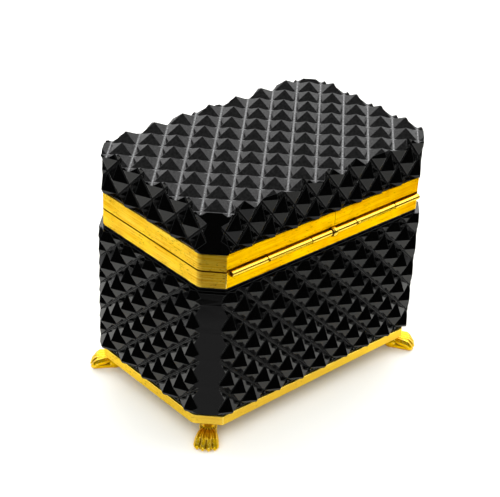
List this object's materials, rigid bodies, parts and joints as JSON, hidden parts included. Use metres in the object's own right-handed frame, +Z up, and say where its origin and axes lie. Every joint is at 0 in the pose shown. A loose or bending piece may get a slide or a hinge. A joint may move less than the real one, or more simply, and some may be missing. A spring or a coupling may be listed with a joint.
{
  "type": "glass casket",
  "caption": "Rectangular black glass casket cut in diamond points, in gilt bronze mounts with a hinged lid, a small front lock and lion-paw feet.",
  "frame": {"origin": "floor under the middle of the casket", "axes": "+X along the length, +Y towards the hinged back, +Z up"},
  "size_m": [0.1592, 0.1042, 0.1349],
  "materials": {
    "black_glass": "opaque black glass, wheel cut and polished, softly worn points",
    "gilt_bronze": "fire gilding, brushed and a little worn",
    "plain_brass": "plain brass, dulled",
    "steel": "filed steel",
    "plaster": "dry plaster"
  },
  "bodies": {
    "casket": {"body_glass": "black_glass", "body_rim_mount": "gilt_bronze", "base_mount": "gilt_bronze", "body_rim_bedding": "plaster", "base_bedding": "plaster", "foot_back_right": "gilt_bronze", "foot_back_left": "gilt_bronze", "foot_front_right": "gilt_bronze", "foot_front_left": "gilt_bronze", "foot_screws": "plain_brass", "hinge_knuckle_1": "gilt_bronze", "hinge_knuckle_3": "gilt_bronze", "hinge_knuckle_5": "gilt_bronze", "hinge_bead": "gilt_bronze", "hinge_pin": "plain_brass", "lock_case": "plain_brass", "keyhole_escutcheon": "gilt_bronze"},
    "lid": {"lid_glass": "black_glass", "lid_rim_mount": "gilt_bronze", "lid_rim_bedding": "plaster", "hinge_knuckle_2": "gilt_bronze", "hinge_knuckle_4": "gilt_bronze", "lock_staple": "plain_brass"},
    "bolt": {"lock_bolt": "steel"}
  },
  "joints": [
    {"name": "lid_hinge", "type": "hinge", "parent": "casket", "child": "lid", "pos_m": [0, 0.0481, 0.0994], "axis": [-1, 0, 0], "range_deg": [0, 100]},
    {"name": "lock_bolt_slide", "type": "slide", "parent": "casket", "child": "bolt", "axis": [-1, 0, 0], "range_m": [0, 0.0035]}
  ]
}
